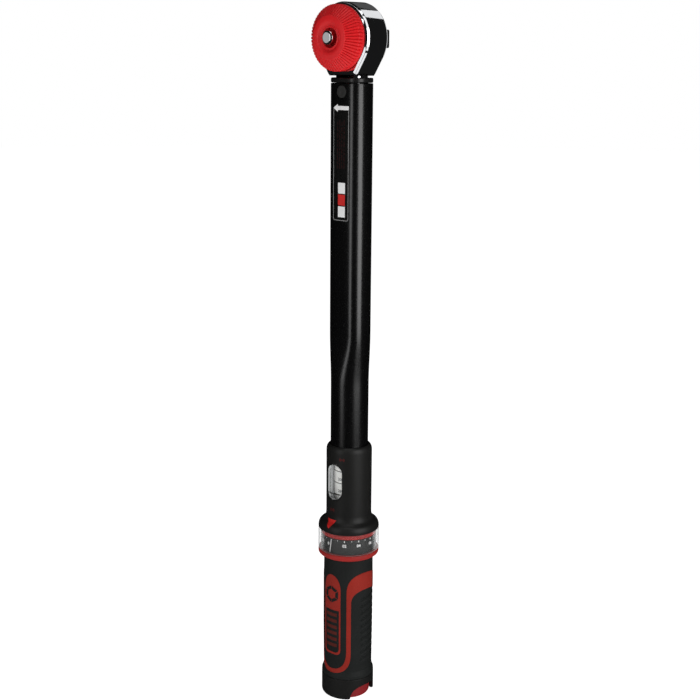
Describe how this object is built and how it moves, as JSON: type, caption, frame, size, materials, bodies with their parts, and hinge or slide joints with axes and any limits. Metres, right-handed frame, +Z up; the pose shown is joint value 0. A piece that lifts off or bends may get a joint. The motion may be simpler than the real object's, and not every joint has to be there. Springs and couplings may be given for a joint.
{
  "type": "torque wrench",
  "caption": "Click-type torque wrench with a reversing ratchet head, red selector knob, oval black tube, scale window, dial ring and rubber twist handle.",
  "frame": {"origin": "centre of the flat end of the handle, on which the wrench stands", "axes": "+Z up along the tube towards the ratchet head, -Y out of the selector knob, +Y out of the output square"},
  "size_m": [0.048, 0.0587, 0.51],
  "materials": {
    "tube_enamel": "satin black enamel",
    "seal_rubber": "smooth black",
    "black_plastic": "fine moulded grain",
    "grip_rubber": "matt soft rubber",
    "label": "printed film",
    "chrome": "polished",
    "steel": "machined",
    "brass": "machined",
    "red_plastic": "moulded red",
    "core_red": "moulded red",
    "white_scale": "white with printed lines",
    "dark_scale": "dark with white marks",
    "clear": "clear moulded lens"
  },
  "bodies": {
    "tube": {"tube": "tube_enamel", "head_seal": "seal_rubber", "pivot_pin": "steel", "data_label": "label", "end_plug": "steel", "collar": "black_plastic", "window_lens": "clear", "collar_screw": "steel", "main_spring": "steel"},
    "head": {"head_body": "chrome", "gear_retainer": "steel", "pawl_pin": "steel", "selector_ball": "steel", "selector_spring": "steel"},
    "pawl": {"pawl": "steel"},
    "selector": {"selector_cam": "steel", "selector_knob": "red_plastic"},
    "drive": {"drive_gear": "chrome", "release_spring": "steel"},
    "button": {"release_button": "chrome"},
    "output_ball": {"output_ball": "steel"},
    "tilt_block": {"tilt_block": "steel"},
    "plunger": {"plunger": "steel"},
    "nut": {"spring_seat": "steel", "adjusting_nut": "brass", "scale_sleeve": "white_scale"},
    "handle": {"lead_screw": "steel", "thrust_washer": "brass", "upper_bezel": "red_plastic", "scale_ring": "dark_scale", "dial_lens": "clear", "lower_bezel": "red_plastic", "handle_core": "core_red", "grip_sleeve": "grip_rubber", "end_skirt": "black_plastic", "handle_nut": "steel", "handle_bush_1": "brass", "handle_bush_2": "brass", "lock_spring": "steel"},
    "lock": {"lock_knob": "red_plastic", "lock_pin_1": "steel", "lock_pin_2": "steel"}
  },
  "joints": [
    {"name": "head_click", "type": "hinge", "parent": "tube", "child": "head", "pos_m": [0, 0, 0.4503], "axis": [0, -1, 0], "range_deg": [0, 2], "stiffness_Nm_per_rad": 40, "springref_deg": -2.86},
    {"name": "block_tilt", "type": "hinge", "parent": "tube", "child": "tilt_block", "pos_m": [0, 0, 0.2632], "axis": [0, 1, 0], "range_deg": [0, 21.4]},
    {"name": "plunger_slide", "type": "slide", "parent": "tube", "child": "plunger", "axis": [0, 0, -1], "range_m": [0, 0.00102]},
    {"name": "drive_spin", "type": "hinge", "parent": "head", "child": "drive", "pos_m": [0, 0, 0.486], "axis": [0, 1, 0], "continuous": true},
    {"name": "release_press", "type": "slide", "parent": "drive", "child": "button", "axis": [0, 1, 0], "range_m": [0, 0.0035], "stiffness_N_per_m": 500, "springref_m": -0.003},
    {"name": "ball_retract", "type": "slide", "parent": "drive", "child": "output_ball", "axis": [-1, 0, 0], "range_m": [0, 0.00122]},
    {"name": "selector_turn", "type": "hinge", "parent": "head", "child": "selector", "pos_m": [0, 0, 0.486], "axis": [0, 1, 0], "range_deg": [0, 60]},
    {"name": "pawl_rock", "type": "hinge", "parent": "head", "child": "pawl", "pos_m": [0, 0, 0.4681], "axis": [0, -1, 0], "range_deg": [0, 8.1]},
    {"name": "handle_turn", "type": "hinge", "parent": "tube", "child": "handle", "pos_m": [0, 0, 0.06], "axis": [0, 0, -1], "range_deg": [0, 2880]},
    {"name": "nut_slide", "type": "slide", "parent": "tube", "child": "nut", "axis": [0, 0, 1], "range_m": [0, 0.02402], "deforming": ["main_spring"]},
    {"name": "lock_slide", "type": "slide", "parent": "handle", "child": "lock", "axis": [0, 0, 1], "range_m": [0, 0.004], "deforming": ["lock_spring"]}
  ],
  "couplings": [
    {"joint": "block_tilt", "follows": "head_click", "ratio": 10.6},
    {"joint": "plunger_slide", "follows": "head_click", "m_per_rad": 0.02865},
    {"joint": "ball_retract", "follows": "release_press", "ratio": 0.34286},
    {"joint": "pawl_rock", "follows": "selector_turn", "ratio": 0.13333},
    {"joint": "nut_slide", "follows": "handle_turn", "m_per_rad": 0.00047746}
  ]
}
